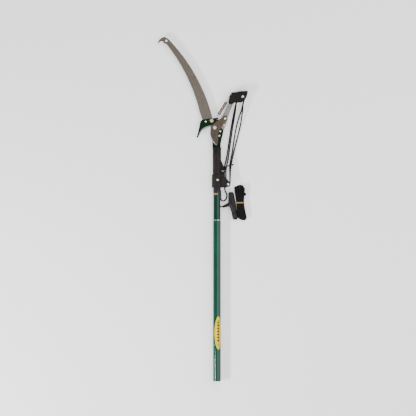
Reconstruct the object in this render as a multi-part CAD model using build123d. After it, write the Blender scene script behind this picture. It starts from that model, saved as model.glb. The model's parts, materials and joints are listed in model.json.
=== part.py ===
from build123d import *

import os
from math import asin, atan2, cos, degrees, hypot, pi, radians, sin, tan

# Telescoping pole saw with a rope-operated pruning head, lying flat on a bench.
# The origin is on the pole's axis at its butt end. X runs across the pole, Y along it
# towards the head, and Z up from the bench. Lengths are millimetres, angles degrees.

# Pole
OUTER_R = 15.5
OUTER_WALL = 0.8
OUTER_LENGTH = 643.0
BUTT_CAP = 1.6
INNER_R = 14.5
INNER_WALL = 1.0
INNER_START = 40.0
INNER_END = 893.0
RUNNING_GAP = 0.05

# Socket that joins the pole to the head
SOCKET_R = 17.0
CLAMP_R = 20.5
SOCKET_START = 774.5
CLAMP_END = 827.0
SOCKET_END = 935.0
LINER_R = 15.2
LINER_START = 757.5
LINER_END = 880.0
SHANK_HALF = 13.0
CHEEK_INNER = 8.5
CHEEK_OUTER = 12.0
CLAMP_BOLT = (3.0, 805.0)
BENCH_Z = -CLAMP_R

# Head plates, front to back
HOOK_FRONT = 2.5
HOOK_BACK = -2.5
PLATE_GAP = 0.3
BLADE_BACK = HOOK_FRONT + PLATE_GAP
BLADE_FRONT = BLADE_BACK + 3.5
BAR_FRONT = HOOK_BACK - PLATE_GAP
BAR_BACK = BAR_FRONT - 3.5
SAW_T = 1.6

# Pivots of the compound lever
BLADE_PIVOT = (-8.8, 1014.2)
LEVER_PIVOT = (13.6, 999.6)
ARM_PIN = (33.2, 1051.2)
BLADE_SWING = 70.0
LEVER_PER_BLADE = 1.2
PIN_R = 2.5
SLOT_HALF = 2.8
PIVOT_R = 4.0
BAR_HALF = 8.5
PADDLE_R = 11.5
BAR_LENGTH = 163.0
STOP_PIN = (9.8, 981.6)
STOP_R = 3.8

# Saw
SAW_BOLT = (-21.2, 1042.0)
SAW_PIN = (-44.0, 1038.4)
TOOTH_COUNT = 56
TOOTH_DEPTH = 2.6

# Rope blocks
ROPE_R = 2.8
UPPER_AXLE = (103.2, 1138.8)
LOWER_AXLE = (44.4, 788.0)
SHEAVE_WIDTH = 7.8
SHEAVE_Z = 4.2
UPPER_SHEAVE_R = 12.5
UPPER_GROOVE_R = 11.6
LOWER_SHEAVE_R = 8.6
LOWER_GROOVE_R = 7.9
GROOVE_R = 3.15
AXLE_R = 3.0
HOUSING_HALF = 12.5
HOUSING_CAVITY = 8.5
HOUSING_SCREW = (67.6, 1141.6)
EAR_HOLE = (23.5, 842.0)

# Return spring
SPRING_LOW = (6.6, 1066.4, 0.0)
SPRING_HIGH = (38.6, 1117.6, 0.0)
SPRING_R = 5.8
SPRING_WIRE_R = 0.8
SPRING_ANCHOR = (1.6, 1047.4)
SPRING_PEG = (57.2, 1146.4)
PEG_R = 1.5

# Pull handle and the hank of spare rope
HANDLE_Z = BENCH_Z + 11.0
HANK_Z = BENCH_Z + 11.0
BAND_Y = 714.0

UP = (Align.CENTER, Align.CENTER, Align.MIN)


# Shared shapes
def save(node, shape):
    export_step(shape, f"parts/{node}.step")


def disc(place, radius, low, high):
    """A cylinder that stands on Z between two heights."""
    return Pos(place[0], place[1], low) * Cylinder(radius, high - low, align=UP)


def rod(radius, start, end, x=0.0, z=0.0):
    """A cylinder that lies along Y."""
    return Pos(x, start, z) * Rot(-90, 0, 0) * Cylinder(radius, end - start, align=UP)


def bar_between(start, end, start_r, end_r):
    """A round bar, straight or tapered, from one point to another."""
    plane = Plane(origin=start, z_dir=Vector(*end) - Vector(*start))
    length = (Vector(*end) - Vector(*start)).length
    if start_r == end_r:
        return plane * Cylinder(start_r, length, align=UP)
    return plane * Cone(start_r, end_r, length, align=UP)


def plate(edges, low, high):
    """A flat plate inside a closed chain of edges."""
    return extrude(Pos(0, 0, low) * make_face(edges), amount=high - low)


def polygon_plate(points, low, high):
    return plate(Polyline(*points, close=True), low, high)


def hexagon(place, across, low, high):
    flat = RegularPolygon(across / 2, 6, major_radius=False)
    return Pos(place[0], place[1], low) * extrude(flat, amount=high - low)


def rivet(place, shank_r, head_r, low, high, head=2.0):
    """A shank from low to high with a domed head past each end."""
    dome = (head_r**2 + head**2) / (2 * head)
    body = disc(place, shank_r, low, high)
    front = Pos(place[0], place[1], high + head - dome) * Sphere(dome)
    back = Pos(place[0], place[1], low - head + dome) * Sphere(dome)
    body += front & disc(place, head_r, high, high + head)
    body += back & disc(place, head_r, low - head, low)
    return body


def turned(point, centre, angle):
    """A point in the XY plane after a clockwise turn about a centre."""
    a = radians(-angle)
    dx, dy = point[0] - centre[0], point[1] - centre[1]
    return (centre[0] + dx * cos(a) - dy * sin(a), centre[1] + dx * sin(a) + dy * cos(a))


# Pole
def make_pole():
    outer = rod(OUTER_R, BUTT_CAP, OUTER_LENGTH)
    outer -= rod(OUTER_R - OUTER_WALL, 0, OUTER_LENGTH + 1)
    save("outer_tube", outer)
    inner = rod(INNER_R, INNER_START, INNER_END)
    inner -= rod(INNER_R - INNER_WALL, INNER_START - 1, INNER_END + 1)
    inner -= disc(CLAMP_BOLT, 3.0, -20, 20)
    save("inner_tube", inner)
    butt = rod(OUTER_R - 0.5, 0, BUTT_CAP) + rod(OUTER_R - OUTER_WALL, BUTT_CAP, 9)
    butt -= rod(11.0, BUTT_CAP, 10)
    save("butt_plug", butt)
    rim = rod(OUTER_R + 0.3, OUTER_LENGTH, OUTER_LENGTH + 3.0)
    rim -= rod(INNER_R + 0.1, OUTER_LENGTH - 1, OUTER_LENGTH + 4)
    save("outer_tube_rim", rim)


def make_label():
    """An oval sticker on the outer tube, turned a little to the right of the front."""
    width, height, thick, centre_y, turn = 33.0, 133.0, 0.3, 193.6, 22.0
    shell = rod(OUTER_R + thick, centre_y - height, centre_y + height)
    shell -= rod(OUTER_R, centre_y - height, centre_y + height)
    half_chord = OUTER_R * sin(width / 2 / OUTER_R)
    oval = extrude(Ellipse(half_chord, height / 2), amount=OUTER_R + 5)
    save("oval_label", shell & (Pos(0, centre_y, 0) * Rot(0, turn, 0) * oval))


def make_small_label():
    """A narrow band of tape round the left front of the inner tube."""
    low, high = 739.0, LINER_START - 0.4
    band = rod(INNER_R + 0.25, low, high) - rod(INNER_R, low, high)
    side = Rot(0, -64, 0) * Pos(0, (low + high) / 2, 12) * Box(28, 20, 24)
    save("tape_label", band & side)


def make_twist_lock():
    """The expander inside the lower end of the inner tube."""
    bore = INNER_R - INNER_WALL
    plug = rod(bore, INNER_START, INNER_START + 22) - rod(3.0, INNER_START - 1, INNER_START + 23)
    save("inner_end_plug", plug)
    cone_low, cone_high, cone_r = 22.0, 37.0, 9.0
    screw = rod(3.0, 13.0, INNER_START + 22)
    screw += bar_between((0, cone_low, 0), (0, cone_high, 0), 3.0, cone_r)
    screw += rod(cone_r, cone_high, INNER_START)
    save("lock_screw", screw)
    gap = 0.1
    sleeve = rod(OUTER_R - OUTER_WALL - 0.2, 18.0, cone_high - 1)
    sleeve -= rod(3.0 + gap, 17, cone_high)
    sleeve -= bar_between((0, cone_low, 0), (0, cone_high, 0), 3.0 + gap, cone_r + gap)
    sleeve -= Pos(0, 27, 10) * Box(2.0, 24, 20)
    save("lock_sleeve", sleeve)
    nut = rod(6.0, 13.0, 17.0) - rod(3.0, 12, 18)
    save("lock_nut", nut)


# Socket
def ear_outline():
    return [(8, 888), (16.2, 886.8), (27, 860), (33, 850), (33.5, 838), (32.2, 832), (32.2, 816), (8, 816)]


def lobe_outline():
    """One cheek of the lower rope block, with a round nose about its axle."""
    x, y = LOWER_AXLE
    nose = 10.0
    slope = radians(52)
    top = (x + nose * sin(slope), y + nose * cos(slope))
    side = (x + nose, y)
    low = (x + nose * sin(radians(150)), y + nose * cos(radians(150)))
    return [
        Line((8, CLAMP_END + 2), (23.5, CLAMP_END + 2)),
        Line((23.5, CLAMP_END + 2), top),
        ThreePointArc(top, side, low),
        Line(low, (34, SOCKET_START)),
        Line((34, SOCKET_START), (8, SOCKET_START)),
        Line((8, SOCKET_START), (8, CLAMP_END + 2)),
    ]


def clamp_seat():
    """The height of the flat that the clamp bolt's head sits on."""
    return (CLAMP_R**2 - CLAMP_BOLT[0] ** 2) ** 0.5 - 0.6


def make_socket():
    body = rod(SOCKET_R, SOCKET_START, SOCKET_END)
    body += rod(CLAMP_R, SOCKET_START, CLAMP_END)
    body += rod(SOCKET_R + 0.9, SOCKET_END - 8, SOCKET_END)
    body += polygon_plate(ear_outline(), -4, 4)
    body += plate(lobe_outline(), -CHEEK_OUTER, CHEEK_OUTER)
    body -= rod(LINER_R, SOCKET_START - 1, INNER_END)
    slot_x = 22.5
    body -= Pos(slot_x + 25, 802, 0) * Box(50, 70, 2 * CHEEK_INNER)
    body += polygon_plate(ear_outline(), -4, 4) - rod(LINER_R, 800, 900)
    body -= disc(LOWER_AXLE, LOWER_SHEAVE_R + 1.0, -CHEEK_INNER, CHEEK_INNER)
    body -= disc(LOWER_AXLE, AXLE_R, -20, 20)
    body -= disc(EAR_HOLE, 4.0, -10, 10)
    body -= disc(CLAMP_BOLT, 3.0, -30, 30)
    body -= disc(CLAMP_BOLT, 6.2, clamp_seat(), 30)
    shank = Pos(0, (INNER_END + SOCKET_END) / 2, 0)
    body -= shank * Box(2 * SHANK_HALF, SOCKET_END - INNER_END, HOOK_FRONT - HOOK_BACK)
    save("head_socket", body)
    liner = rod(LINER_R, LINER_START, LINER_END) - rod(INNER_R, LINER_START - 1, LINER_END + 1)
    liner -= disc(CLAMP_BOLT, 3.0, -30, 30)
    save("socket_liner", liner)


def make_clamp_bolt():
    seat = clamp_seat()
    bolt = disc(CLAMP_BOLT, 3.0, -seat, seat)
    dome = Pos(CLAMP_BOLT[0], CLAMP_BOLT[1], seat) * Sphere(5.2)
    bolt += dome & disc(CLAMP_BOLT, 6, seat, seat + 2.6)
    save("clamp_bolt", bolt)


# Hook, cutting blade and lever
def make_hook():
    inner_curve = Spline((-74.4, 976.4), (-70.5, 991), (-60, 1007.5), (-44, 1018), (-22, 1022.5))
    x, y = LEVER_PIVOT
    lobe = 12.4
    outline = [
        inner_curve,
        Spline((-22, 1022.5), (-21.5, 1005), (-20.5, 980), (-18.3, 958)),
        Line((-18.3, 958), (-18.3, SOCKET_END)),
        Line((-18.3, SOCKET_END), (-SHANK_HALF, SOCKET_END)),
        Line((-SHANK_HALF, SOCKET_END), (-SHANK_HALF, INNER_END)),
        Line((-SHANK_HALF, INNER_END), (SHANK_HALF, INNER_END)),
        Line((SHANK_HALF, INNER_END), (SHANK_HALF, SOCKET_END)),
        Line((SHANK_HALF, SOCKET_END), (15.2, SOCKET_END)),
        Spline((15.2, SOCKET_END), (17.6, 962), (22.6, 982), (x + lobe, y)),
        ThreePointArc((x + lobe, y), (x + lobe * 0.6, y + lobe * 0.8), (x - 1.5, y + lobe - 0.3)),
        Spline((x - 1.5, y + lobe - 0.3), (5.5, 1022), (5.2, 1036), (6.6, 1046)),
        Spline((6.6, 1046), (5, 1051.5), (-2, 1053.8)),
        Line((-2, 1053.8), (-54, 1046.4)),
        Spline((-54, 1046.4), (-63, 1042.5), (-67.5, 1033)),
        Spline((-67.5, 1033), (-70.5, 1018), (-75, 998), (-82.0, 975.2)),
        Spline((-82.0, 975.2), (-79.6, 973.2), (-74.4, 976.4)),
    ]
    hook = plate(outline, HOOK_BACK, HOOK_FRONT)
    hook -= disc(BLADE_PIVOT, PIVOT_R, -5, 5)
    hook -= disc(LEVER_PIVOT, PIVOT_R, -5, 5)
    hook -= disc(STOP_PIN, 2.5, -5, 5)
    hook -= disc(SAW_BOLT, 3.0, -5, 5)
    hook -= disc(SAW_PIN, 2.5, -5, 5)
    hook -= disc(SPRING_ANCHOR, 2.0, -5, 5)
    save("hook_body", hook)
    edge = [
        inner_curve,
        Spline((-22, 1022.5), (-22, 1020), (-22, 1016.6)),
        Spline((-22, 1016.6), (-41, 1013.2), (-55, 1005.2), (-66, 991.5), (-74.4, 976.4)),
    ]
    save("hook_cutting_edge", plate(edge, HOOK_BACK, HOOK_FRONT))


def blade_outline():
    """The pruning blade with its lever arm, in the open position."""
    bx, by = BLADE_PIVOT
    px, py = ARM_PIN
    arm_r = 10.5
    length = hypot(px - bx, py - by)
    ux, uy = (px - bx) / length, (py - by) / length
    left = (px - uy * arm_r, py + ux * arm_r)
    right = (px + uy * arm_r, py - ux * arm_r)
    tip = (0.8, 941.6)
    return [
        ThreePointArc(left, (px + ux * arm_r, py + uy * arm_r), right),
        Spline(right, (31.0, 1032.5), (19.2, 1016.8), (8.6, 1001), (5.2, 982), (4.6, 958), tip),
        Spline(tip, (-12.5, 953.2), (-22.8, 971), (-26.4, 994), (-24.8, 1014)),
        Spline((-24.8, 1014), (-22.5, 1021), (-15, 1028.5)),
        Line((-15, 1028.5), left),
    ]


def ground_bevel(edge, low, high, width):
    """The wedge that grinding takes off one face along a cutting edge."""
    frame = Plane(origin=edge @ 0, x_dir=(0, 0, 1), z_dir=edge % 0)
    side = 1 if frame.y_dir.X > 0 else -1
    corners = [(low, -side * 1.0), (high + 0.5, -side * 1.0), (high + 0.5, side * width), (low, 0)]
    return sweep(frame * Polygon(*corners, align=None), edge)


def make_blade():
    outline = blade_outline()
    blade = plate(outline, BLADE_BACK, BLADE_FRONT)
    blade -= ground_bevel(outline[2], BLADE_BACK + 0.8, BLADE_FRONT, 4.6)
    blade -= polygon_plate([(-32, 1007.5), (8, 989.0), (8, 930), (-32, 930)], BLADE_FRONT - 0.5, 20)
    blade -= disc(BLADE_PIVOT, PIVOT_R + RUNNING_GAP, 0, 10)
    blade -= disc(ARM_PIN, PIN_R, 0, 10)
    save("cutting_blade", blade)
    pin = disc(ARM_PIN, PIN_R, BAR_BACK - 1.8, BLADE_FRONT)
    pin += disc(ARM_PIN, 4.5, HOOK_BACK, BLADE_BACK)
    pin += disc(ARM_PIN, 5.0, BAR_BACK - 1.8, BAR_BACK - PLATE_GAP)
    dome = Pos(ARM_PIN[0], ARM_PIN[1], BLADE_FRONT - 5.0) * Sphere(7.07)
    pin += dome & disc(ARM_PIN, 5.0, BLADE_FRONT, BLADE_FRONT + 2.1)
    save("arm_pin", pin)


def make_pivot_bolt():
    x, y = BLADE_PIVOT
    bolt = disc(BLADE_PIVOT, PIVOT_R, HOOK_BACK - 8.0, BLADE_FRONT + 1.5)
    bolt += hexagon(BLADE_PIVOT, 11.5, BLADE_FRONT + 1.5, BLADE_FRONT + 5.0)
    save("pivot_bolt", bolt)
    washer = disc(BLADE_PIVOT, 7.6, BLADE_FRONT + 0.1, BLADE_FRONT + 1.5)
    washer -= disc(BLADE_PIVOT, PIVOT_R, BLADE_FRONT, BLADE_FRONT + 2)
    save("pivot_washer", washer)
    nut = hexagon(BLADE_PIVOT, 13.0, HOOK_BACK - 6.5, HOOK_BACK)
    nut -= disc((x, y), PIVOT_R, HOOK_BACK - 8, HOOK_BACK + 1)
    save("pivot_nut", nut)


def slot_path(angle):
    """Where the arm pin is, seen from the lever, when the blade has turned by angle."""
    pin = turned(ARM_PIN, BLADE_PIVOT, angle)
    return turned(pin, LEVER_PIVOT, -LEVER_PER_BLADE * angle)


def slot_side(angle, side):
    """A point on the slot's wall, half its width to one side of the pin's path."""
    x, y = slot_path(angle)
    ahead, behind = slot_path(angle + 0.5), slot_path(angle - 0.5)
    dx, dy = ahead[0] - behind[0], ahead[1] - behind[1]
    size = hypot(dx, dy)
    return (x - side * dy / size * SLOT_HALF, y + side * dx / size * SLOT_HALF)


def slot_end(angle, outwards):
    x, y = slot_path(angle)
    ahead, behind = slot_path(angle + 0.5), slot_path(angle - 0.5)
    dx, dy = ahead[0] - behind[0], ahead[1] - behind[1]
    size = hypot(dx, dy)
    return (x + outwards * dx / size * SLOT_HALF, y + outwards * dy / size * SLOT_HALF)


def make_lever():
    """The flat bar, with the curved slot that turns the arm pin at a constant ratio."""
    first, last, steps = -1.0, BLADE_SWING + 1.0, 8
    angles = [first + (last - first) * i / steps for i in range(steps + 1)]
    slot = plate(
        [
            Spline(*[slot_side(a, 1) for a in angles]),
            ThreePointArc(slot_side(last, 1), slot_end(last, 1), slot_side(last, -1)),
            Spline(*[slot_side(a, -1) for a in reversed(angles)]),
            ThreePointArc(slot_side(first, -1), slot_end(first, -1), slot_side(first, 1)),
        ],
        BAR_BACK - 1,
        BAR_FRONT + 1,
    )
    x, y = LEVER_PIVOT
    tilt = degrees(atan2(ARM_PIN[1] - y, ARM_PIN[0] - x))
    narrow, wide = 58.0, 44.0
    shoulder, neck, tail = (narrow, 14.0), (106.0, 11.6), (115.0, BAR_HALF)
    outline = [
        Line((wide, PADDLE_R), shoulder),
        Line(shoulder, neck),
        Line(neck, tail),
        Line(tail, (BAR_LENGTH, BAR_HALF)),
        Line((BAR_LENGTH, BAR_HALF), (BAR_LENGTH, -BAR_HALF)),
        Line((BAR_LENGTH, -BAR_HALF), (narrow, -BAR_HALF)),
        Line((narrow, -BAR_HALF), (wide, -PADDLE_R)),
        Line((wide, -PADDLE_R), (0, -PADDLE_R)),
        ThreePointArc((0, -PADDLE_R), (-PADDLE_R, 0), (0, PADDLE_R)),
        Line((0, PADDLE_R), (wide, PADDLE_R)),
    ]
    bar = Pos(x, y, 0) * Rot(0, 0, tilt) * plate(outline, BAR_BACK, BAR_FRONT)
    bar -= slot
    bar -= disc(LEVER_PIVOT, PIVOT_R + RUNNING_GAP, -10, 0)
    bar -= disc(HOUSING_SCREW, 2.5, -10, 0)
    save("lever_bar", bar)


def make_head_rivets():
    pivot = disc(LEVER_PIVOT, PIVOT_R, BAR_BACK - PLATE_GAP, HOOK_FRONT)
    pivot += disc(LEVER_PIVOT, 6.5, BAR_BACK - PLATE_GAP - 2.0, BAR_BACK - PLATE_GAP)
    save("lever_pivot_rivet", pivot)
    stop = disc(STOP_PIN, 2.5, HOOK_BACK, HOOK_FRONT)
    stop += disc(STOP_PIN, STOP_R, HOOK_FRONT, BLADE_FRONT)
    stop += disc(STOP_PIN, 3.8, HOOK_BACK - 1.5, HOOK_BACK)
    save("blade_stop_pin", stop)
    bolt = disc(SAW_BOLT, 3.0, HOOK_BACK - SAW_T - 5.5, HOOK_FRONT)
    bolt += disc(SAW_BOLT, 7.0, HOOK_FRONT, HOOK_FRONT + 1.2)
    bolt += hexagon(SAW_BOLT, 10.0, HOOK_FRONT + 1.2, HOOK_FRONT + 5.0)
    save("saw_bolt", bolt)
    wings = hexagon(SAW_BOLT, 11.0, HOOK_BACK - SAW_T - 4.5, HOOK_BACK - SAW_T)
    wings -= disc(SAW_BOLT, 3.0, -20, 0)
    save("saw_nut", wings)
    save("saw_pin", rivet(SAW_PIN, 2.5, 3.6, HOOK_BACK - SAW_T, HOOK_FRONT, head=1.4))


def saw_teeth():
    """The tooth points and gullets along the curved cutting edge, tip to heel."""
    crest = ThreePointArc((-203.0, 1347.6), (-122.6, 1220.8), (-70.2, 1077.5))
    points = []
    for i in range(TOOTH_COUNT):
        gullet = crest @ ((i + 0.15) / TOOTH_COUNT)
        run = crest % ((i + 0.15) / TOOTH_COUNT)
        points.append((gullet.X - run.Y * TOOTH_DEPTH, gullet.Y + run.X * TOOTH_DEPTH))
        point = crest @ ((i + 0.75) / TOOTH_COUNT)
        points.append((point.X, point.Y))
    return points


def make_saw():
    teeth = saw_teeth()
    heel = (-67.0, 1072.0)
    outline = [
        Spline((-207.0, 1349.6), (-211.5, 1352.4), (-216, 1358.2)),
        Spline((-216, 1358.2), (-222.5, 1359.8), (-229, 1356.6), (-234.6, 1349.6)),
        Line((-234.6, 1349.6), (-236.2, 1351.4)),
        Spline((-236.2, 1351.4), (-231.6, 1364), (-222, 1373.6), (-212, 1377), (-200, 1373.4)),
        Spline((-200, 1373.4), (-194.4, 1370), (-188.8, 1364.4)),
        ThreePointArc((-188.8, 1364.4), (-83.9, 1220.8), (-20, 1064)),
        Line((-20, 1064), (-14, 1033)),
        Line((-14, 1033), (-51, 1029)),
        Line((-51, 1029), (-60.5, 1052)),
        Line((-60.5, 1052), heel),
        Polyline(heel, *reversed(teeth), (-207.0, 1349.6)),
    ]
    saw = plate(outline, HOOK_BACK - SAW_T, HOOK_BACK)
    saw -= disc((-202.4, 1361.6), 4.2, -10, 10)
    saw -= disc(SAW_BOLT, 3.0, -10, 10)
    saw -= disc(SAW_PIN, 2.5, -10, 10)
    save("saw_blade", saw)


# Rope blocks
def housing_outline():
    corners = [
        (58.6, 1155.4), (79.4, 1156.2), (84.6, 1159.2), (121.5, 1161.4), (124.6, 1158.0),
        (118.4, 1136.0), (109.6, 1123.6), (97.5, 1114.6), (70.0, 1114.4), (59.2, 1106.4),
        (44.2, 1112.2), (50.2, 1138.8),
    ]
    return FilletPolyline(*corners, radius=2.6, close=True)


def housing_pocket():
    """The space for the two sheaves and for the ropes that reach them."""
    x, y = UPPER_AXLE
    cavity_r = UPPER_GROOVE_R + ROPE_R + 0.7
    pocket = disc(UPPER_AXLE, cavity_r, -HOUSING_CAVITY, HOUSING_CAVITY)
    left = [(x - 14.6, y + 5), (67, 1102), (83, 1106), (x - 2, y - 10)]
    right = [(x - 4, y - 8), (99, 1108), (112, 1110), (x + 13.8, y - 5)]
    pocket += polygon_plate(left, -HOUSING_CAVITY, HOUSING_CAVITY)
    pocket += polygon_plate(right, -HOUSING_CAVITY, HOUSING_CAVITY)
    return pocket


def make_lever_housing():
    x, y = LEVER_PIVOT
    tilt = degrees(atan2(ARM_PIN[1] - y, ARM_PIN[0] - x))
    seat = Pos(x, y, 0) * Rot(0, 0, tilt)
    seat *= Pos(BAR_LENGTH / 2, 0, (BAR_FRONT + BAR_BACK) / 2)
    bar_seat = seat * Box(BAR_LENGTH, 2 * BAR_HALF, BAR_FRONT - BAR_BACK)
    lean = degrees(atan2(SPRING_PEG[1] - SPRING_HIGH[1], SPRING_PEG[0] - SPRING_HIGH[0]))
    link_slot = Pos(*SPRING_PEG, 0) * Rot(0, 0, lean) * Pos(-13, 0, 0) * Box(34, 8, 3)
    shells = {"lever_housing_front": (0, HOUSING_HALF), "lever_housing_back": (-HOUSING_HALF, 0)}
    for node, (low, high) in shells.items():
        shell = plate(housing_outline(), low, high)
        outer_face = high if low == 0 else low
        rim = shell.edges().filter_by_position(Axis.Z, outer_face - 0.01, outer_face + 0.01)
        shell = chamfer(rim, length=1.2)
        shell -= housing_pocket()
        shell -= bar_seat
        shell -= disc(UPPER_AXLE, AXLE_R, -20, 20)
        shell -= disc(HOUSING_SCREW, 2.5, -20, 20)
        shell -= disc(HOUSING_SCREW, 4.6, HOUSING_HALF - 3, 20)
        shell -= disc(SPRING_PEG, PEG_R, -20, 20)
        shell -= link_slot
        save(node, shell)
    screw = disc(HOUSING_SCREW, 2.5, -HOUSING_HALF - 1.5, HOUSING_HALF - 3)
    screw += disc(HOUSING_SCREW, 4.4, HOUSING_HALF - 3, HOUSING_HALF - 1)
    screw += hexagon(HOUSING_SCREW, 8.0, -HOUSING_HALF - 4, -HOUSING_HALF)
    save("housing_screw", screw)
    save("upper_axle", rivet(UPPER_AXLE, AXLE_R, 5.0, -HOUSING_HALF, HOUSING_HALF, head=1.8))


def sheave(place, radius, groove, low_z, holes):
    """A grooved rope wheel; the holes in its web lighten it."""
    wheel = disc(place, radius, low_z - SHEAVE_WIDTH / 2, low_z + SHEAVE_WIDTH / 2)
    wheel -= Pos(place[0], place[1], low_z) * Torus(groove, GROOVE_R)
    wheel -= disc(place, AXLE_R + RUNNING_GAP, -20, 20)
    for i in range(holes):
        turn = radians(360 * i / holes)
        hole = (place[0] + 5.9 * cos(turn), place[1] + 5.9 * sin(turn))
        wheel -= disc(hole, 1.3, -20, 20)
    return wheel


def make_sheaves():
    for letter, side in (("a", -1), ("b", 1)):
        z = side * SHEAVE_Z
        upper = sheave(UPPER_AXLE, UPPER_SHEAVE_R, UPPER_GROOVE_R, z, 5)
        save(f"upper_sheave_{letter}", upper)
        lower = sheave(LOWER_AXLE, LOWER_SHEAVE_R, LOWER_GROOVE_R, z, 0)
        save(f"lower_sheave_{letter}", lower)
    save("lower_axle", rivet(LOWER_AXLE, AXLE_R, 5.0, -CHEEK_OUTER, CHEEK_OUTER, head=1.8))


# Return spring
def make_spring():
    """The closed coils as a sleeve, with the wire hook and the wire loop at its ends."""
    coil = bar_between(SPRING_LOW, SPRING_HIGH, SPRING_R, SPRING_R)
    inner = SPRING_R - 2 * SPRING_WIRE_R
    coil -= bar_between(SPRING_LOW, SPRING_HIGH, inner, inner)
    save("return_spring", coil)
    axis = (Vector(*SPRING_HIGH) - Vector(*SPRING_LOW)).normalized()
    low, high = Vector(*SPRING_LOW), Vector(*SPRING_HIGH)
    wire = 1.2
    bends = [
        Vector(*SPRING_ANCHOR, -4.2), Vector(*SPRING_ANCHOR, 4.2),
        low - axis * 8 + Vector(-0.8, 0, 4.2), low - axis * 2, low + axis * 3.5,
    ]
    path = FilletPolyline(*bends, radius=1.6)
    hook = sweep(Plane(origin=path @ 0, z_dir=path % 0) * Circle(wire), path)
    hook += bar_between(low + axis * 1.5, low + axis * 3.5, inner, inner)
    save("spring_hook", hook)
    loop_r = 2.4
    end = Vector(*SPRING_PEG, 0)
    along = (end - high).normalized()
    across = Vector(-along.Y, along.X, 0) * loop_r
    start = high - axis * 2.0
    path = Wire(
        [
            Line(start + across, end + across),
            ThreePointArc(end + across, end + along * loop_r, end - across),
            Line(end - across, start - across),
        ]
    )
    loop = sweep(Plane(origin=path @ 0, z_dir=path % 0) * Circle(SPRING_WIRE_R), path)
    loop += bar_between(high - axis * 4.0, high - axis * 1.0, inner, inner)
    save("spring_link", loop)
    save("spring_peg", disc(SPRING_PEG, PEG_R, -HOUSING_HALF, HOUSING_HALF - 1))


# Ropes
def bend_radii(points, wheels):
    """The radius at each corner: a wheel's own, or the widest that the runs allow."""
    corners = range(1, len(points) - 1)
    runs = [Vector(*b) - Vector(*a) for a, b in zip(points, points[1:])]
    turns = {i: radians(runs[i - 1].get_angle(runs[i])) for i in corners}
    spare = [run.length for run in runs]
    for i, radius in wheels.items():
        used = radius * tan(turns[i] / 2)
        spare[i - 1] -= used
        spare[i] -= used
    radii = []
    for i in corners:
        widest = 0.45 * min(spare[i - 1], spare[i]) / tan(turns[i] / 2)
        radii.append(wheels.get(i, min(widest, 120)))
    return radii


def tube(node, points, wheels):
    """A rope along a route of straight runs and arcs."""
    path = FilletPolyline(*points, radius=bend_radii(points, wheels))
    section = Plane(origin=path @ 0, z_dir=path % 0) * Circle(ROPE_R)
    rope = sweep(section, path)
    save(node, rope)
    return rope


def over_wheel(left, right, centre, radius, z):
    """The corners of a route that runs up from left, over a wheel and down to right."""
    corners = []
    for (px, py, _), side in ((left, -1), (right, 1)):
        away = hypot(centre[0] - px, centre[1] - py)
        line = atan2(centre[1] - py, centre[0] - px) - side * asin(radius / away)
        reach = (centre[1] + radius - py) / sin(line)
        corners.append((px + reach * cos(line), centre[1] + radius, z))
    return corners


def tackle_rope(node, start, rise, fall, finish, z, low_wheels):
    """Up from the bracket, over one upper sheave and down to the lower block."""
    left = (77.5, 1117.0, z)
    right = (105.4, 1117.5, z)
    top = over_wheel(left, right, UPPER_AXLE, UPPER_GROOVE_R, z)
    points = [*start, *rise, left, *top, right, *fall, *finish]
    first = len(start) + len(rise) + 1
    wheels = {first: UPPER_GROOVE_R - 0.1, first + 1: UPPER_GROOVE_R - 0.1}
    for i in low_wheels:
        wheels[i % len(points)] = LOWER_GROOVE_R - 0.1
    return tube(node, points, wheels)


def make_ropes():
    a, b = -SHEAVE_Z, SHEAVE_Z
    x, y = LOWER_AXLE
    g = LOWER_GROOVE_R
    low = BENCH_Z + ROPE_R
    rise_a = [
        (32.4, 866, -11.5), (38.0, 886, -16), (46.4, 940, low), (54.8, 1001, low),
        (63.0, 1046, -15.5), (71.4, 1088, -9.0),
    ]
    fall_a = [
        (101.0, 1090, -9.6), (84.6, 1046, -15.5), (74.4, 1001, low), (67.4, 958, low),
        (62.4, 918, -17.4), (55.0, 884, -14.5), (50.8, 858, -10.5), (52.2, 826, -6.0),
    ]
    start_a = [(EAR_HOLE[0] + 3.6, EAR_HOLE[1] + 6.8, -7.6)]
    finish_a = [(x + g, y + 14, a), (x + g, y - g, a), (x, y - g, a)]
    first = tackle_rope("tackle_rope_a", start_a, rise_a, fall_a, finish_a, a, [-2])
    rise_b = [
        (35.8, 838, -6.4), (38.6, 860, -9.0), (44.5, 884, -14.5), (52.2, 938, low),
        (60.6, 1000, low), (68.0, 1044, -14.2), (75.0, 1086, -3.5),
    ]
    fall_b = [
        (103.4, 1088, -1.5), (98.2, 1041, -13), (88.4, 999, low), (78.0, 958, low),
        (68.4, 918, -17.2), (60.6, 884, -12.0), (54.6, 852, -3.5), (53.4, 824, 1.8),
    ]
    start_b = [(x, y - g, a), (x - g, y - g, a), (x - g, y + 20, a - 0.4)]
    haul_start = (31.5, 770.5, b)
    finish_b = [(x + g, y + 14, b), (x + g, y - g, b), (31.5, y - g, b), haul_start]
    tackle_rope("tackle_rope_b", start_b, rise_b, fall_b, finish_b, b, [1, -3])
    inlet, outlet = handle_bore()
    haul = [
        haul_start, (31.5, 763, b), (37.0, 754, -9), (41.0, 743, -15.5), (38.5, 730, low),
        (30.0, 721.5, low), (19.0, 721.0, low), (15.2, 732, low), (15.2, 768.5, low),
        (4.6, 768.5, low), (4.6, 740, low), (4.0, 716, low), (8.5, 702.0, -17), inlet, outlet,
    ]
    tube("haul_rope", haul, {})
    return first


def handle_bore():
    """Where the haul rope enters the handle's stem, and where it ends inside it."""
    inlet, outlet = (17.5, 695.6), (36.0, 701.4)
    return (*inlet, HANDLE_Z), (*outlet, HANDLE_Z)


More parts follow.
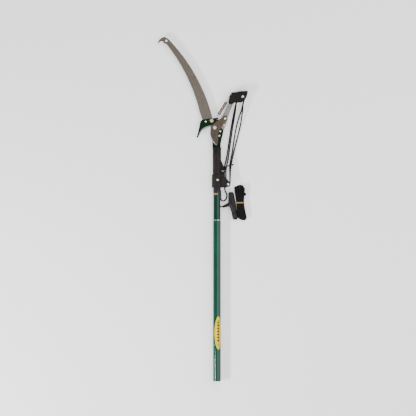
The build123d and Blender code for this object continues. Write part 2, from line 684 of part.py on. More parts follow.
def make_knot_and_tie(rope):
    """The knot on the ear, and the nylon tie that gathers the falls of rope."""
    knot = Pos(EAR_HOLE[0] + 3.2, EAR_HOLE[1] + 6.0, -8.0) * Sphere(4.4)
    knot += Pos(EAR_HOLE[0], EAR_HOLE[1] + 1.0, -7.4) * Sphere(4.4)
    knot += disc(EAR_HOLE, 2.6, -6.5, 5.0)
    knot += Pos(EAR_HOLE[0] - 0.5, EAR_HOLE[1], 5.4) * Sphere(4.4)
    knot -= polygon_plate(ear_outline(), -4, 4) - disc(EAR_HOLE, 4.0, -10, 10)
    save("ear_knot", knot - rope)
    ring = RectangleRounded(29.0, 20.0, 7) - RectangleRounded(26.6, 17.6, 5.8)
    tie = Rot(90, 0, 0) * Pos(0, 0, -2.1) * extrude(ring, amount=4.2)
    tie += Pos(15.8, 0, 1.0) * Box(4.8, 6.2, 7.0)
    tie += Pos(19.0, 0, 3.2) * Box(4.6, 4.6, 1.6)
    save("cable_tie", Pos(47.9, 862.0, -10.4) * Rot(0, 0, 14) * tie)


def lofted(stations, centre_z):
    """A body through flattened rings; each station is Y, X, half width and half height."""
    rings = []
    for y, x, half_width, half_height in stations:
        plane = Plane(origin=(x, y, centre_z), x_dir=(1, 0, 0), z_dir=(0, 1, 0))
        rings.append(plane * Ellipse(half_width, half_height))
    return loft(rings)


def make_handle():
    """A pull handle with a bowed grip and a hollow stem for the rope."""
    grip = lofted(
        [
            (757.0, 56.0, 6.5, 5.0), (752.0, 56.6, 10.6, 8.6), (738.0, 58.0, 12.4, 10.4),
            (714.0, 60.5, 14.8, 10.8), (690.0, 65.6, 12.8, 10.8), (664.0, 71.0, 11.2, 10.2),
            (650.0, 73.2, 9.4, 8.2), (645.6, 73.8, 6.0, 5.0),
        ],
        HANDLE_Z,
    )
    ends = grip.faces().sort_by(Axis.Y)
    grip = fillet(ends[0].edges() + ends[-1].edges(), 3.4)
    inlet, outlet = handle_bore()
    start = (23.6, 697.6, HANDLE_Z)
    grip += bar_between(start, (52.0, 708.0, HANDLE_Z), 4.6, 8.5)
    grip -= bar_between(inlet, outlet, ROPE_R + 0.7, ROPE_R + 0.7)
    save("pull_handle", grip)


def make_hank():
    """The spare rope, folded into a tied hank; its outer shape as one solid."""
    hank = lofted(
        [
            (783.0, 90.4, 15.0, 5.0), (772.0, 90.4, 21.4, 9.6), (745.0, 91.4, 19.6, 10.8),
            (BAND_Y, 92.6, 15.2, 10.0), (690.0, 95.8, 15.6, 10.6), (662.0, 103.0, 18.4, 10.8),
            (647.0, 102.0, 17.6, 8.6), (641.5, 101.4, 12.6, 4.0),
        ],
        HANK_Z,
    )
    plane = Plane(origin=(92.6, BAND_Y - 2.5, HANK_Z), x_dir=(1, 0, 0), z_dir=(0, 1, 0))
    band = extrude(plane * Ellipse(16.4, 10.9), amount=5)
    save("hank_band", band - hank)
    save("rope_hank", hank)


make_pole()
make_label()
make_small_label()
make_twist_lock()
make_socket()
make_clamp_bolt()
make_hook()
make_blade()
make_pivot_bolt()
make_lever()
make_head_rivets()
make_saw()
make_lever_housing()
make_sheaves()
make_spring()
make_knot_and_tie(make_ropes())
make_handle()
make_hank()
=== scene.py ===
import json
import random
from math import asin, atan2, cos, hypot, pi, sin

import bpy
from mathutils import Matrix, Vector


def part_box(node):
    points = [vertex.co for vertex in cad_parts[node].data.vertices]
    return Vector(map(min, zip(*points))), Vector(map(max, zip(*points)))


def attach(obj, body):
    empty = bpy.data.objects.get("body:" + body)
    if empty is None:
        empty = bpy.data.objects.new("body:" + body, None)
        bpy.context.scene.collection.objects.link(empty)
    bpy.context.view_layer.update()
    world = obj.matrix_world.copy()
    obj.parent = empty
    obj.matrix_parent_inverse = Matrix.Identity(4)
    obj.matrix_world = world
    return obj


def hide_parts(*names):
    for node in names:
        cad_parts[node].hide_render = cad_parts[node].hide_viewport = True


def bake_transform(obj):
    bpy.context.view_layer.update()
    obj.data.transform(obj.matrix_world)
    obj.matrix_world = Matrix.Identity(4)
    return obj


# A telescoping pole saw with a rope-operated pruning head, lying flat on a pale bench.
# Everything is in metres, in the frame of the CAD model: Y runs along the pole.
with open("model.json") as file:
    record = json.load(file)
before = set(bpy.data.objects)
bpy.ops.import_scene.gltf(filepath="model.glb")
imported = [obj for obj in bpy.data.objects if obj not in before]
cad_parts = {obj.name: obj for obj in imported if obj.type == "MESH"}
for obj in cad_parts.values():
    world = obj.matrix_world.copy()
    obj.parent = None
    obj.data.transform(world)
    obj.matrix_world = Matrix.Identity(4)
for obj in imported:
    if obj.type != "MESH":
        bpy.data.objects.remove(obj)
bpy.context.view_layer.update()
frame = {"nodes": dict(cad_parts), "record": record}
scene = bpy.context.scene
node = frame["nodes"]
MM = 0.001

# Camera: square on to the bench, long enough that the view is nearly parallel
CAMERA_HEIGHT = 12.0
VIEW_WIDTH = 1.664
VIEW_CENTRE = (-0.0356, 0.6928)
lens = bpy.data.cameras.new("camera")
lens.sensor_width = 36.0
lens.lens = lens.sensor_width * CAMERA_HEIGHT / VIEW_WIDTH
lens.clip_end = 100.0
camera = bpy.data.objects.new("camera", lens)
camera.location = (*VIEW_CENTRE, CAMERA_HEIGHT)
scene.collection.objects.link(camera)
scene.camera = camera


# Paths and tubes
def points_in_metres(points):
    return [Vector(p) * MM for p in points]


def spline_through(points):
    """Points along the smooth NURBS line that has the route's points as its controls."""
    curve = bpy.data.curves.new("route", "CURVE")
    curve.dimensions = "3D"
    spline = curve.splines.new("NURBS")
    spline.points.add(len(points) - 1)
    for control, point in zip(spline.points, points):
        control.co = (*point, 1.0)
    spline.order_u = 3
    spline.use_endpoint_u = True
    spline.resolution_u = 12
    holder = bpy.data.objects.new("route", curve)
    scene.collection.objects.link(holder)
    mesh = bpy.data.meshes.new_from_object(holder)
    path = [vertex.co.copy() for vertex in mesh.vertices]
    bpy.data.objects.remove(holder)
    bpy.data.curves.remove(curve)
    bpy.data.meshes.remove(mesh)
    return path


def tube(name, path, radius, sides=12):
    """A closed mesh tube; its UV map runs round the tube and, in metres, along it."""
    tangents = []
    for i in range(len(path)):
        ahead, behind = path[min(i + 1, len(path) - 1)], path[max(i - 1, 0)]
        tangents.append((ahead - behind).normalized())
    normal = tangents[0].orthogonal().normalized()
    vertices, along, total = [], [], 0.0
    for i, (point, tangent) in enumerate(zip(path, tangents)):
        if i:
            normal = tangents[i - 1].rotation_difference(tangent) @ normal
            total += (point - path[i - 1]).length
        normal = (normal - tangent * normal.dot(tangent)).normalized()
        side = tangent.cross(normal)
        along.append(total)
        for k in range(sides):
            a = 2 * pi * k / sides
            vertices.append(point + (normal * cos(a) + side * sin(a)) * radius)
    faces, uv = [], []
    for i in range(len(path) - 1):
        for k in range(sides):
            j = (k + 1) % sides
            low, high = i * sides, (i + 1) * sides
            faces.append((low + k, low + j, high + j, high + k))
            u, v = k / sides, (k + 1) / sides
            uv += [(u, along[i]), (v, along[i]), (v, along[i + 1]), (u, along[i + 1])]
    last = (len(path) - 1) * sides
    faces.append(tuple(reversed(range(sides))))
    faces.append(tuple(last + k for k in range(sides)))
    uv += [(0, 0)] * sides + [(0, along[-1])] * sides
    mesh = bpy.data.meshes.new(name)
    mesh.from_pydata(vertices, [], faces)
    layer = mesh.uv_layers.new(name="along")
    for loop, value in zip(layer.data, uv):
        loop.uv = value
    for face in mesh.polygons:
        face.use_smooth = len(face.vertices) == 4
    piece = bpy.data.objects.new(name, mesh)
    scene.collection.objects.link(piece)
    return piece


# Cords: the routes are the model's own, in millimetres
ROPE_R_MM = 2.8
ROPE_R = ROPE_R_MM * MM
BENCH_Z = -20.5
LOW = BENCH_Z + ROPE_R_MM
UPPER_AXLE = (103.2, 1138.8)
LOWER_AXLE = (44.4, 788.0)
UPPER_GROOVE_R = 11.6
LOWER_GROOVE_R = 7.9
SHEAVE_Z = 4.2
EAR_HOLE = (23.5, 842.0)
HANDLE_Z = BENCH_Z + 11.0
INLET = (17.5, 695.6, HANDLE_Z)
OUTLET = (36.0, 701.4, HANDLE_Z)


def over_wheel(left, right, centre, radius, z):
    """The corners of a route that runs up from left, over a wheel and down to right."""
    corners = []
    for (px, py, _), side in ((left, -1), (right, 1)):
        away = hypot(centre[0] - px, centre[1] - py)
        line = atan2(centre[1] - py, centre[0] - px) - side * asin(radius / away)
        reach = (centre[1] + radius - py) / sin(line)
        corners.append((px + reach * cos(line), centre[1] + radius, z))
    return corners


def tackle_rope(name, start, rise, fall, finish, z):
    """Up from the bracket, over one upper sheave and down to the lower block."""
    left, right = (77.5, 1117.0, z), (105.4, 1117.5, z)
    top = over_wheel(left, right, UPPER_AXLE, UPPER_GROOVE_R, z)
    points = [*start, *rise, left, *top, right, *fall, *finish]
    path = spline_through(points_in_metres(points))
    piece = tube(name, path, ROPE_R)
    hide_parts(name[:-5])
    return piece


z_a, z_b = -SHEAVE_Z, SHEAVE_Z
axle_x, axle_y = LOWER_AXLE
left_side, right_side = axle_x - LOWER_GROOVE_R, axle_x + LOWER_GROOVE_R
bottom = axle_y - LOWER_GROOVE_R
haul_start = (31.5, 770.5, z_b)
rope_a = tackle_rope(
    "tackle_rope_a_cord",
    [(EAR_HOLE[0] + 3.6, EAR_HOLE[1] + 6.8, -7.6)],
    [
        (32.4, 866, -11.5), (38.0, 886, -16), (46.4, 940, LOW), (54.8, 1001, LOW),
        (63.0, 1046, -15.5), (71.4, 1088, -9.0),
    ],
    [
        (101.0, 1090, -9.6), (84.6, 1046, -15.5), (74.4, 1001, LOW), (67.4, 958, LOW),
        (62.4, 918, -17.4), (55.0, 884, -14.5), (50.8, 858, -10.5), (52.2, 826, -6.0),
    ],
    [(right_side, axle_y + 14, z_a), (right_side, bottom, z_a), (axle_x, bottom, z_a)],
    z_a,
)
rope_b = tackle_rope(
    "tackle_rope_b_cord",
    [(axle_x, bottom, z_a), (left_side, bottom, z_a), (left_side, axle_y + 20, z_a - 0.4)],
    [
        (35.8, 838, -6.4), (38.6, 860, -9.0), (44.5, 884, -14.5), (52.2, 938, LOW),
        (60.6, 1000, LOW), (68.0, 1044, -14.2), (75.0, 1086, -3.5),
    ],
    [
        (103.4, 1088, -1.5), (98.2, 1041, -13), (88.4, 999, LOW), (78.0, 958, LOW),
        (68.4, 918, -17.2), (60.6, 884, -12.0), (54.6, 852, -3.5), (53.4, 824, 1.8),
    ],
    [(right_side, axle_y + 14, z_b), (right_side, bottom, z_b), (31.5, bottom, z_b), haul_start],
    z_b,
)
haul_path = spline_through(
    points_in_metres(
        [
            haul_start, (31.5, 763, z_b), (37.0, 754, -9), (41.0, 743, -15.5), (38.5, 730, LOW),
            (30.0, 721.5, LOW), (19.0, 721.0, LOW), (15.2, 732, LOW), (15.2, 768.5, LOW),
            (4.6, 768.5, LOW), (4.6, 740, LOW), (4.0, 716, LOW), (8.5, 702.0, -17), INLET, OUTLET,
        ]
    )
)
haul = tube("haul_rope_cord", haul_path, ROPE_R)
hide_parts("haul_rope")
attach(haul, "head")

# The hank: the spare rope folded up and down, and drawn in at a band round its waist
HANK_LOW, HANK_HIGH, BAND_Y = 642.0, 784.0, 714.0
HANK_X = 92.6
HANK_Z = BENCH_Z + 11.0
ROPE_PITCH = 4.75
LAYER_PITCH = 4.7
LOOP_STAGGER = 12
ROWS = [[0, 2, 4, 1, 3], [5, 3, 1, 4, 2, 0], [1, 4, 2, 0, 3]]


def hank_point(across, row, y, rng):
    """A place in the hank: drawn in at the waist, spread and loose above and below it."""
    above = max(0.0, (y - BAND_Y) / (HANK_HIGH - BAND_Y))
    below = max(0.0, (BAND_Y - y) / (BAND_Y - HANK_LOW))
    spread = 1.0 + 0.72 * min(1, 1.5 * above) ** 1.3 + 0.46 * min(1, 1.2 * below) ** 1.3
    middle = HANK_X - 2.6 * above + 10.0 * below**1.1
    loose = min(1, 2.5 * max(above, below))
    x = middle + across * spread + rng.uniform(-1.2, 1.2) * loose
    z = HANK_Z + (row - 1) * LAYER_PITCH + rng.uniform(-0.6, 0.6) * loose
    return x, y, z - 0.3 * loose


def hank_route():
    """Up and down, a fold at a time, in three layers from the bench upwards."""
    rng = random.Random(5)
    folds = [
        (row, (column - (len(columns) - 1) / 2) * ROPE_PITCH)
        for row, columns in enumerate(ROWS)
        for column in columns
    ]
    route = []
    start = HANK_LOW + LOOP_STAGGER
    for i, (row, across) in enumerate(folds):
        upward = 1 if i % 2 == 0 else -1
        far_row, far = folds[min(i + 1, len(folds) - 1)]
        half = abs(far - across) / 2
        rise = 5.0 + 0.9 * half
        short = rng.uniform(0, LOOP_STAGGER)
        crest = HANK_HIGH - short if upward > 0 else HANK_LOW + short
        end = crest - upward * rise
        for share in (0.0, 0.5, 1.0):
            y = BAND_Y if share == 0.5 else start + (end - start) * share
            route.append(hank_point(across, row, y, rng))
        if i < len(folds) - 1:
            for turn in (0.25, 0.5, 0.75):
                x = (across + far) / 2 + (across - far) / 2 * cos(pi * turn)
                y = end + upward * rise * sin(pi * turn)
                route.append(hank_point(x, row + (far_row - row) * turn, y, rng))
        start = end
    return route


hank_path = spline_through(points_in_metres(hank_route()))
hank = tube("rope_hank_cord", hank_path, ROPE_R, sides=10)
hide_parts("rope_hank")
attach(hank, "head")


def knot_path(centre, size, turn):
    """A closed overhand knot about a centre."""
    path = []
    for i in range(61):
        t = 2 * pi * i / 60
        x = sin(t) + 2 * sin(2 * t)
        y = cos(t) - 2 * cos(2 * t)
        z = -1.4 * sin(3 * t)
        path.append(
            Vector(
                (
                    centre[0] + size * (x * cos(turn) - y * sin(turn)),
                    centre[1] + size * (x * sin(turn) + y * cos(turn)),
                    centre[2] + size * z,
                )
            )
            * MM
        )
    return path


end_knot = tube("hank_end_knot", knot_path((111.8, 748.0, -9.0), 1.6, 0.4), 2.1 * MM)
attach(end_knot, "head")

# The knots that tie the rope's end to the ear: a turn through the hole and a stopper
ear_turn = [(27.1, 848.8, -7.6), (24.5, 845.5, -8.0), (23.3, 842.2, -5.0), (23.3, 841.8, 4.6),
            (25.0, 846.0, 7.0), (29.5, 850.0, 6.0), (32.5, 855.0, -1.0), (33.0, 858.0, -7.0)]
ear_rope = tube("ear_knot_turn", spline_through(points_in_metres(ear_turn)), 2.5 * MM)
ear_stop = tube("ear_knot_stopper", knot_path((31.5, 852.5, -6.0), 1.9, 0.9), 2.4 * MM)
for piece in (ear_rope, ear_stop):
    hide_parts("ear_knot")
    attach(piece, "head")


# Return spring: close coils, built as a fixed helix between its two ends
SPRING_LOW = Vector((6.6, 1066.4, 0.0)) * MM
SPRING_HIGH = Vector((38.6, 1117.6, 0.0)) * MM
COIL_R = 5.0 * MM
WIRE_R = 0.8 * MM
COILS = 36


def spring_path():
    axis = SPRING_HIGH - SPRING_LOW
    along = axis.normalized()
    side = along.cross(Vector((0, 0, 1)))
    up = side.cross(along)
    path = []
    steps = COILS * 18
    for i in range(steps + 1):
        a = 2 * pi * COILS * i / steps
        centre = SPRING_LOW + along * (WIRE_R + (axis.length - 2 * WIRE_R) * i / steps)
        path.append(centre + (side * cos(a) + up * sin(a)) * COIL_R)
    return path


spring = tube("return_spring_coil", spring_path(), WIRE_R, sides=8)
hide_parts("return_spring")
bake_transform(spring)

for rope in (rope_a, rope_b):
    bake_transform(rope)


# Materials
class Finish:
    """A material under construction: a principled shader and the nodes that feed it."""

    def __init__(self, name, **values):
        self.material = bpy.data.materials.new(name)
        self.material.use_nodes = True
        self.tree = self.material.node_tree
        self.shader = self.tree.nodes["Principled BSDF"]
        self.place = self.add("ShaderNodeTexCoord").outputs["Object"]
        for key, value in values.items():
            self.set(key.replace("_", " ").title(), value)

    def add(self, kind, **settings):
        made = self.tree.nodes.new(kind)
        for key, value in settings.items():
            setattr(made, key, value)
        return made

    def put(self, socket, value):
        """Links a socket, or sets its constant."""
        if isinstance(value, bpy.types.NodeSocket):
            self.tree.links.new(value, socket)
        elif isinstance(value, tuple) and len(value) == 3 and socket.type == "RGBA":
            socket.default_value = (*value, 1.0)
        else:
            socket.default_value = value

    def set(self, name, value):
        names = {"Ior": "IOR", "Specular": "Specular IOR Level", "Coat": "Coat Weight"}
        self.put(self.shader.inputs[names.get(name, name)], value)

    def scaled(self, scale, turn=0.0, place=None):
        """Object coordinates stretched by a scale for each axis, after a turn about Z."""
        turned = self.add("ShaderNodeMapping")
        turned.inputs["Rotation"].default_value = (0, 0, turn)
        self.put(turned.inputs["Vector"], place or self.place)
        made = self.add("ShaderNodeMapping")
        made.inputs["Scale"].default_value = scale
        self.put(made.inputs["Vector"], turned.outputs["Vector"])
        return made.outputs["Vector"]

    def noise(self, scale, detail=3.0, place=None, rough=0.55):
        made = self.add("ShaderNodeTexNoise")
        self.put(made.inputs["Vector"], place or self.place)
        made.inputs["Scale"].default_value = scale
        made.inputs["Detail"].default_value = detail
        made.inputs["Roughness"].default_value = rough
        return made.outputs["Fac"]

    def cells(self, scale, place=None):
        made = self.add("ShaderNodeTexVoronoi")
        self.put(made.inputs["Vector"], place or self.place)
        made.inputs["Scale"].default_value = scale
        return made.outputs["Distance"]

    def math(self, operation, one, two=0.0, clamp=False):
        made = self.add("ShaderNodeMath", operation=operation, use_clamp=clamp)
        self.put(made.inputs[0], one)
        self.put(made.inputs[1], two)
        return made.outputs[0]

    def ramp(self, value, low, high, out_low=0.0, out_high=1.0):
        """Maps a range of values to another, smoothly and without going past its ends."""
        made = self.add("ShaderNodeMapRange", interpolation_type="SMOOTHSTEP")
        self.put(made.inputs["Value"], value)
        made.inputs["From Min"].default_value = low
        made.inputs["From Max"].default_value = high
        made.inputs["To Min"].default_value = out_low
        made.inputs["To Max"].default_value = out_high
        return made.outputs["Result"]

    def mix(self, share, one, two):
        made = self.add("ShaderNodeMix", data_type="RGBA")
        self.put(made.inputs["Factor"], share)
        self.put(made.inputs[6], one)
        self.put(made.inputs[7], two)
        return made.outputs[2]

    def bump(self, height, distance, strength=1.0):
        made = self.add("ShaderNodeBump")
        self.put(made.inputs["Height"], height)
        made.inputs["Distance"].default_value = distance
        made.inputs["Strength"].default_value = strength
        self.set("Normal", made.outputs["Normal"])

    def xyz(self, place=None):
        made = self.add("ShaderNodeSeparateXYZ")
        self.put(made.inputs[0], place or self.place)
        return made.outputs


def paint(name, colour, coat, specular):
    """Gloss paint over metal: faint orange peel, fine scratches along it and dust."""
    f = Finish(name, roughness=0.3, specular=specular, coat=coat, coat_roughness=0.08)
    tone = f.ramp(f.noise(9.0), 0.3, 0.7)
    lighter = tuple(1.35 * c + 0.001 for c in colour)
    body = f.mix(tone, colour, lighter)
    scratches = f.noise(1.0, 4.0, f.scaled((1400, 30, 1400)))
    scratched = f.ramp(scratches, 0.66, 0.74)
    dust = f.ramp(f.noise(900.0, 2.0), 0.7, 0.78, 0.0, 0.08)
    worn = f.mix(dust, body, (0.35, 0.38, 0.33))
    f.set("Base Color", f.mix(f.math("MULTIPLY", scratched, 0.22), worn, (0.2, 0.27, 0.22)))
    f.set("Roughness", f.ramp(scratches, 0.45, 0.75, 0.26, 0.42))
    f.bump(f.noise(420.0, 2.0), 0.00002, 0.5)
    return f.material


def plastic(name, colour, tint, roughness=0.5, grain=0.00005, specular=0.14, dusty_below=None):
    """Moulded plastic: a fine grain, slight mottling, rubbed patches and perhaps dust low down."""
    f = Finish(name, specular=specular)
    mottle = f.ramp(f.noise(60.0, 4.0), 0.35, 0.65)
    rubbed = f.ramp(f.noise(24.0, 5.0), 0.58, 0.72, 0.0, 0.5)
    tone = f.mix(rubbed, f.mix(mottle, colour, tint), tuple(1.8 * c for c in tint))
    if dusty_below:
        _, y, _ = f.xyz()
        low_down = f.ramp(y, dusty_below, dusty_below + 0.012, 1.0, 0.0)
        dust = f.math("MULTIPLY", low_down, f.ramp(f.noise(130.0, 4.0), 0.2, 0.7, 0.4, 1.0))
        tone = f.mix(dust, tone, (0.017, 0.0132, 0.0118))
    f.set("Base Color", tone)
    f.set("Roughness", f.math("SUBTRACT", roughness, f.math("MULTIPLY", rubbed, 0.15)))
    f.bump(f.math("ADD", f.cells(1500.0), f.noise(700.0, 3.0)), grain, 0.6)
    return f.material


def steel(name, colour, shade, turn=0.0, roughness=0.36, stain=0.3, bevel_and_reflection=None):
    """Ground or plated steel: streaks along one direction, stains, pits, and on slanted faces a bluish
    edge tint that is partly the bare ground bevel and partly a painted reflection.
    """
    f = Finish(name, metallic=1.0)
    lines = f.noise(1.0, 5.0, f.scaled((3000, 60, 3000), turn))
    cloud = f.ramp(f.noise(55.0, 5.0), 0.4, 0.7, 0.0, stain)
    tone = f.mix(f.ramp(lines, 0.3, 0.7), shade, colour)
    pits = f.ramp(f.noise(1300.0, 2.0), 0.7, 0.76, 0.0, 0.5)
    tone = f.mix(pits, f.mix(cloud, tone, shade), tuple(0.45 * c for c in shade))
    # Slanted faces, found by their normals, take the edge tint: partly bare ground bevel, partly a painted
    # reflection of the light those faces catch.
    if bevel_and_reflection:
        upright = f.xyz(f.add("ShaderNodeTexCoord").outputs["Normal"])[2]
        tone = f.mix(f.ramp(f.math("ABSOLUTE", upright), 0.8, 0.97, 1.0, 0.0), tone, bevel_and_reflection)
    f.set("Base Color", tone)
    f.set("Roughness", f.ramp(lines, 0.25, 0.75, roughness - 0.07, roughness + 0.1))
    f.bump(lines, 0.00003, 0.6)
    return f.material


def braid(name):
    """Braided cord: slanted strands that cross, with fuzz between them."""
    f = Finish(name, specular=0.12, roughness=0.75)
    uv = f.add("ShaderNodeUVMap", uv_map="along").outputs["UV"]
    u, v, _ = f.xyz(uv)
    around = f.math("MULTIPLY", u, 6.0)
    along = f.math("MULTIPLY", v, 260.0)
    right = f.math("SINE", f.math("MULTIPLY", f.math("ADD", around, along), 2 * pi))
    left = f.math("SINE", f.math("MULTIPLY", f.math("SUBTRACT", around, along), 2 * pi))
    weave = f.math("MAXIMUM", right, left)
    fuzz = f.noise(2500.0, 3.0)
    shade = f.math("ADD", f.ramp(weave, -0.4, 1.0), f.math("MULTIPLY", fuzz, 0.5))
    f.set("Base Color", f.mix(f.ramp(shade, 0.3, 1.3), (0.0006, 0.0005, 0.0005), (0.0075, 0.0063, 0.0063)))
    f.set("Sheen Weight", 0.06)
    f.set("Sheen Roughness", 0.5)
    f.bump(f.math("ADD", weave, f.math("MULTIPLY", fuzz, 0.6)), 0.0003, 0.9)
    return f.material


def wound_wire(name):
    """Drawn spring wire with a warm tint, painted bright along the crown as a highlight and painted dark
    brown on the flanks as shade.
    """
    f = Finish(name, metallic=1.0, roughness=0.3)
    draw = f.noise(900.0, 3.0)
    x, y, _ = f.xyz()
    along = (SPRING_HIGH - SPRING_LOW).normalized()
    across = f.math("MULTIPLY", f.math("SUBTRACT", x, SPRING_LOW.x), along.y)
    across = f.math("SUBTRACT", across, f.math("MULTIPLY", f.math("SUBTRACT", y, SPRING_LOW.y), along.x))
    # Painted light: near the spring's axis line the wire is painted bright as a highlight; further out, on
    # the flanks, it is painted dark as shade.
    crown_highlight_mask = f.ramp(f.math("ABSOLUTE", across), 0.0008, 0.0031, 1.0, 0.0)
    highlight_tone = f.mix(f.ramp(draw, 0.3, 0.7), (0.34, 0.235, 0.195), (0.62, 0.45, 0.4))
    f.set("Base Color", f.mix(crown_highlight_mask, (0.03, 0.016, 0.011), highlight_tone))
    f.bump(draw, 0.00003, 0.5)
    return f.material


def oval_print(name):
    """A printed oval: yellow ground, a fine inner line and a column of lozenges."""
    f = Finish(name, specular=0.06, roughness=0.45)
    x, y, z = f.xyz()
    low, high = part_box("oval_label")
    middle, half_length = (low[1] + high[1]) / 2, (high[1] - low[1]) / 2
    pole_r, half_width, turn = 0.0155, 0.0165, 0.384
    round_it = f.math("SUBTRACT", f.math("ARCTAN2", x, z), turn)
    u = f.math("DIVIDE", f.math("MULTIPLY", round_it, pole_r), half_width)
    v = f.math("DIVIDE", f.math("SUBTRACT", y, middle), half_length)
    ring = f.math("SQRT", f.math("ADD", f.math("POWER", u, 2.0), f.math("POWER", v, 2.0)))
    line = f.ramp(f.math("ABSOLUTE", f.math("SUBTRACT", ring, 0.74)), 0.02, 0.05, 1.0, 0.0)
    cell = f.math("SUBTRACT", f.math("FRACT", f.math("MULTIPLY", v, 5.5)), 0.5)
    column = f.math("MULTIPLY", f.math("ABSOLUTE", f.math("ADD", u, 0.04)), 1.35)
    lozenge = f.math("ADD", column, f.math("ABSOLUTE", cell))
    marks = f.ramp(lozenge, 0.42, 0.5, 1.0, 0.0)
    inside = f.ramp(f.math("ABSOLUTE", f.math("SUBTRACT", v, 0.04)), 0.6, 0.62, 1.0, 0.0)
    ink = f.math("MAXIMUM", f.math("MULTIPLY", marks, inside), f.math("MULTIPLY", line, 0.55))
    ground = f.mix(f.ramp(u, -0.4, 0.8), (0.78, 0.62, 0.0), (0.74, 0.43, 0.0))
    speck = f.ramp(f.noise(800.0, 2.0), 0.62, 0.72, 0.0, 0.2)
    ground = f.mix(speck, ground, (0.75, 0.5, 0.02))
    f.set("Base Color", f.mix(ink, ground, (0.035, 0.014, 0.02)))
    f.bump(f.math("ADD", ink, f.noise(500.0, 2.0)), 0.00003, 0.5)
    return f.material


def tape_print(name):
    """Dark tape with one gold stripe across it."""
    f = Finish(name, specular=0.4, roughness=0.35)
    _, y, _ = f.xyz()
    low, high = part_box("tape_label")
    v = f.math("DIVIDE", f.math("SUBTRACT", y, low[1]), high[1] - low[1])
    stripe = f.ramp(f.math("ABSOLUTE", f.math("SUBTRACT", v, 0.56)), 0.13, 0.17, 1.0, 0.0)
    rub = f.ramp(f.noise(420.0, 3.0), 0.4, 0.6)
    gold = f.mix(rub, (0.14, 0.09, 0.015), (0.5, 0.36, 0.05))
    f.set("Base Color", f.mix(stripe, f.mix(rub, (0.008, 0.005, 0.007), (0.024, 0.015, 0.018)), gold))
    f.bump(f.noise(900.0, 2.0), 0.00003, 0.5)
    return f.material


GREEN = (0.001, 0.042, 0.024)
DEEP_GREEN = (0.0003, 0.0115, 0.0036)
# Bluish grey for the blade's slanted bevel faces: partly bare ground steel, partly a painted reflection.
BEVEL_STEEL_AND_REFLECTION = (0.1, 0.115, 0.125)
finishes = {
    "pole_green": paint("pole_green_paint", GREEN, 0.8, 0.0),
    "head_green": paint("head_green_paint", DEEP_GREEN, 0.0, 0.08),
    "black_plastic": plastic("black_moulding", (0.006, 0.0047, 0.0045), (0.011, 0.0086, 0.0082)),
    "liner_plastic": plastic("liner_moulding", (0.016, 0.0135, 0.0165), (0.023, 0.02, 0.024), 0.4),
    "lock_plastic": plastic("lock_moulding", (0.5, 0.5, 0.46), (0.6, 0.6, 0.56), 0.45),
    "handle_plastic": plastic(
        "handle_moulding", (0.013, 0.0115, 0.0116), (0.021, 0.0188, 0.0188), 0.45, 0.00007
    ),
    "pulley_plastic": plastic("pulley_moulding", (0.02, 0.02, 0.02), (0.04, 0.04, 0.04), 0.35),
    "tie_plastic": plastic("tie_moulding", (0.006, 0.006, 0.006), (0.012, 0.012, 0.012), 0.35),
    "blade_steel": steel(
        "blade_steel_ground", (0.145, 0.11, 0.078), (0.08, 0.061, 0.044), 0.2, 0.42, 0.5, BEVEL_STEEL_AND_REFLECTION
    ),
    "saw_steel": steel("saw_steel_ground", (0.215, 0.185, 0.155), (0.145, 0.124, 0.102), -0.42, 0.4, 0.35),
    "ground_steel": steel("edge_steel_ground", (0.46, 0.45, 0.43), (0.24, 0.23, 0.22), 0.6, 0.34),
    "zinc_steel": steel("zinc_plate", (0.56, 0.55, 0.53), (0.3, 0.29, 0.28), 1.2, 0.38, 0.4),
    "bright_steel": steel("nickel_plate", (0.95, 0.9, 0.84), (0.7, 0.64, 0.58), 0.0, 0.25, 0.3),
    "yellow_zinc": steel("yellow_zinc_plate", (0.9, 0.82, 0.6), (0.6, 0.5, 0.3), 0.5, 0.32, 0.4),
    "silver_rim": steel("cut_tube_edge", (0.5, 0.62, 0.54), (0.25, 0.36, 0.3), 1.57, 0.3, 0.3),
    "spring_steel": wound_wire("spring_wire"),
    "black_rope": braid("braided_rope"),
    "yellow_label": oval_print("oval_sticker"),
    "dark_tape": tape_print("pole_tape"),
    "gold_band": plastic("band_gold", (0.3, 0.165, 0.04), (0.4, 0.25, 0.075), 0.4),
}

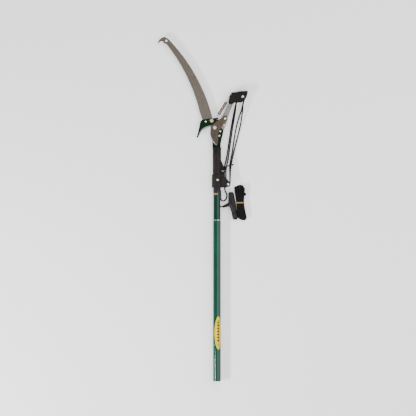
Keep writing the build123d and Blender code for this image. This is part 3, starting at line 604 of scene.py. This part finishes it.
finishes["inner_green"] = paint("inner_tube_paint", tuple(0.55 * c for c in GREEN), 0.6, 0.0)
SOCKET_BLACK, SOCKET_TINT = (0.0062, 0.0048, 0.0046), (0.0115, 0.009, 0.0086)
finishes["socket_plastic"] = plastic("socket_moulding", SOCKET_BLACK, SOCKET_TINT, dusty_below=0.9)
finishes["bar_plate"] = steel("plated_bar", (0.46, 0.45, 0.43), (0.17, 0.165, 0.16), 1.2, 0.38, 0.5)
finishes["dark_screw"] = steel("blackened_screw", (0.05, 0.045, 0.045), (0.02, 0.018, 0.018), 0.0, 0.5)
slots = {s["node"]: s["material_slot"] for s in frame["record"]["subparts"]}
slots["housing_screw"] = "dark_screw"
slots["inner_tube"] = "inner_green"
slots["lever_bar"] = "bar_plate"
slots["head_socket"] = "socket_plastic"
for name, piece in node.items():
    piece.data.materials.clear()
    piece.data.materials.append(finishes[slots[name]])
for piece in (rope_a, rope_b, haul, hank, end_knot, ear_rope, ear_stop):
    piece.data.materials.append(finishes["black_rope"])
spring.data.materials.append(finishes["spring_steel"])

# Bench
bench_finish = Finish("bench_paper", roughness=0.9, specular=0.1)
paper = bench_finish.noise(300.0, 4.0)
bench_finish.set("Base Color", bench_finish.mix(paper, (0.9, 0.9, 0.9), (0.94, 0.94, 0.94)))
bench_finish.set("Emission Color", (1.0, 1.0, 1.0))
bench_finish.set("Emission Strength", 0.5)
bench_finish.bump(paper, 0.00005, 0.3)
mesh = bpy.data.meshes.new("bench")
reach, level = 6.0, BENCH_Z * MM - 0.0002
mesh.from_pydata(
    [(-reach, -reach, level), (reach, -reach, level), (reach, reach, level), (-reach, reach, level)],
    [],
    [(0, 1, 2, 3)],
)
bench = bpy.data.objects.new("bench", mesh)
mesh.materials.append(bench_finish.material)
scene.collection.objects.link(bench)


# Light
def softbox(name, place, size, power, aim=(0, 0.7, 0)):
    """A rectangular lamp that faces a place on the pole."""
    lamp = bpy.data.lights.new(name, "AREA")
    lamp.shape = "RECTANGLE"
    lamp.size, lamp.size_y = size
    lamp.energy = power
    made = bpy.data.objects.new(name, lamp)
    made.location = place
    made.rotation_euler = (Vector(aim) - Vector(place)).to_track_quat("-Z", "Y").to_euler()
    scene.collection.objects.link(made)
    return made


lamps = [
    softbox("softbox_right", (1.9, 0.7, 2.4), (2.6, 4.5), 96),
    softbox("softbox_far", (0.3, 4.2, 3.0), (3.5, 2.0), 84),
    softbox("softbox_near", (0.3, -3.2, 3.4), (3.5, 2.0), 84),
    softbox("strip_left", (-2.2, -0.6, 1.6), (1.2, 0.16), 110, (0, -0.6, 0)),
]
world = bpy.data.worlds.new("studio")
world.use_nodes = True
scene.world = world
background = world.node_tree.nodes["Background"]
background.inputs["Color"].default_value = (0.93, 0.95, 1.0, 1.0)
background.inputs["Strength"].default_value = 0.25
